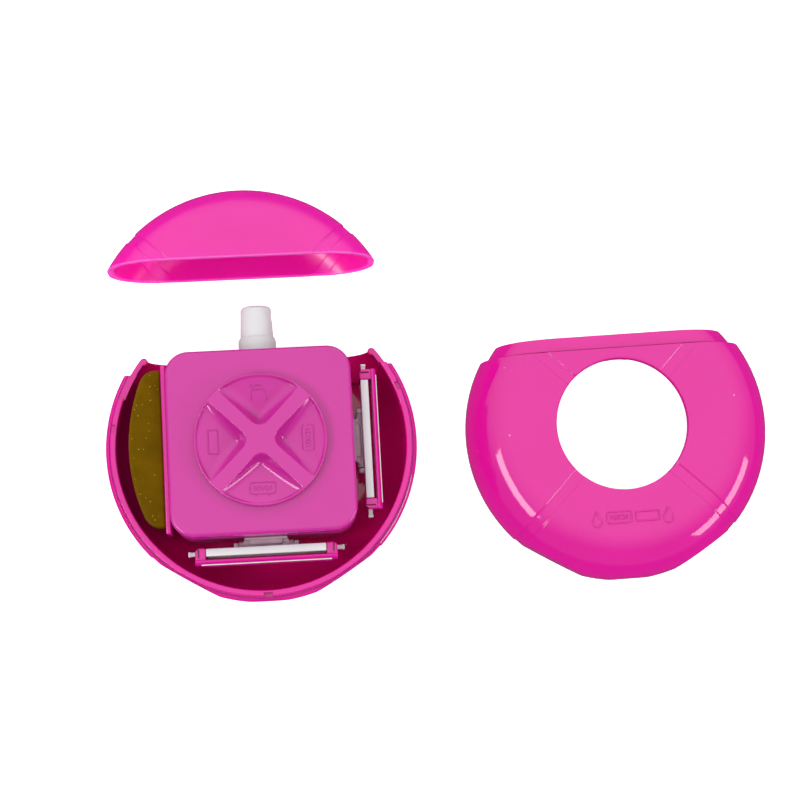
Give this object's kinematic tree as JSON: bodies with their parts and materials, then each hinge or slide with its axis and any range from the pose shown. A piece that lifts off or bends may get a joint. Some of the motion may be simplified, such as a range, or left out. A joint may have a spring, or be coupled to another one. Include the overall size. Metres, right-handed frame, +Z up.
{
  "type": "pocket shaving kit",
  "caption": "Round pocket shaving kit opened out: tray with a turning hub holding a water sprayer, soap bar and razor cartridges, a windowed front cover and a sliding dome cap.",
  "frame": {"origin": "centre of the tray's flat back face, on the surface that the kit lies on", "axes": "+X from the tray towards the front cover, +Y from the tray towards the cap, +Z up out of the open tray"},
  "size_m": [0.1738, 0.1066, 0.028],
  "materials": {
    "pink_plastic": "glossy injection-moulded plastic",
    "white_plastic": "satin white polypropylene",
    "frosted_plastic": "translucent frosted plastic",
    "steel": "stainless steel",
    "seal": "soft white seal",
    "soap": "translucent glycerine soap with small bubbles",
    "lube_strip": "matt lubricating strip"
  },
  "bodies": {
    "case_tray": {"rear_shell": "pink_plastic", "index_ring": "white_plastic"},
    "carousel": {"hub_tank": "pink_plastic", "hub_lid": "pink_plastic", "lid_seal": "seal", "dial_knob": "pink_plastic", "index_leaf": "steel", "bar_carrier": "pink_plastic", "shave_bar": "soap", "pump_collar": "white_plastic", "collar_gasket": "seal", "pump_barrel": "white_plastic", "dip_tube": "frosted_plastic", "inlet_ball": "steel", "pump_spring": "steel", "right_yoke": "frosted_plastic", "right_pivot_pin": "steel", "lower_yoke": "frosted_plastic", "lower_pivot_pin": "steel"},
    "spray_head": {"pump_stem": "white_plastic", "spray_actuator": "white_plastic", "nozzle_insert": "white_plastic"},
    "right_cartridge": {"right_spine": "white_plastic", "right_frame": "pink_plastic", "right_lube_strip": "lube_strip", "right_blade_1": "steel", "right_blade_2": "steel", "right_blade_3": "steel"},
    "lower_cartridge": {"lower_spine": "white_plastic", "lower_frame": "pink_plastic", "lower_lube_strip": "lube_strip", "lower_blade_1": "steel", "lower_blade_2": "steel", "lower_blade_3": "steel"},
    "cover": {"front_cover": "pink_plastic"},
    "cap": {"slide_cap": "pink_plastic"}
  },
  "joints": [
    {"name": "carousel_spin", "type": "hinge", "parent": "case_tray", "child": "carousel", "pos_m": [0, 0, 0.014], "axis": [0, 0, 1], "continuous": true},
    {"name": "spray_press", "type": "slide", "parent": "carousel", "child": "spray_head", "axis": [0, -1, 0], "range_m": [0, 0.003], "stiffness_N_per_m": 500, "springref_m": -0.001, "deforming": ["pump_spring"]},
    {"name": "right_razor_tilt", "type": "hinge", "parent": "carousel", "child": "right_cartridge", "pos_m": [0.0256, 0, 0.014], "axis": [0, 1, 0], "range_deg": [-10, 10], "stiffness_Nm_per_rad": 0.02},
    {"name": "lower_razor_tilt", "type": "hinge", "parent": "carousel", "child": "lower_cartridge", "pos_m": [0, -0.0256, 0.014], "axis": [1, 0, 0], "range_deg": [-10, 10], "stiffness_Nm_per_rad": 0.02},
    {"name": "cap_slide", "type": "slide", "parent": "case_tray", "child": "cap", "axis": [0.1181, -0.993, 0], "range_m": [0, 0.027]},
    {"name": "cover_lift", "type": "slide", "parent": "case_tray", "child": "cover", "axis": [0, 0, 1], "range_m": [0, 0.06]}
  ]
}
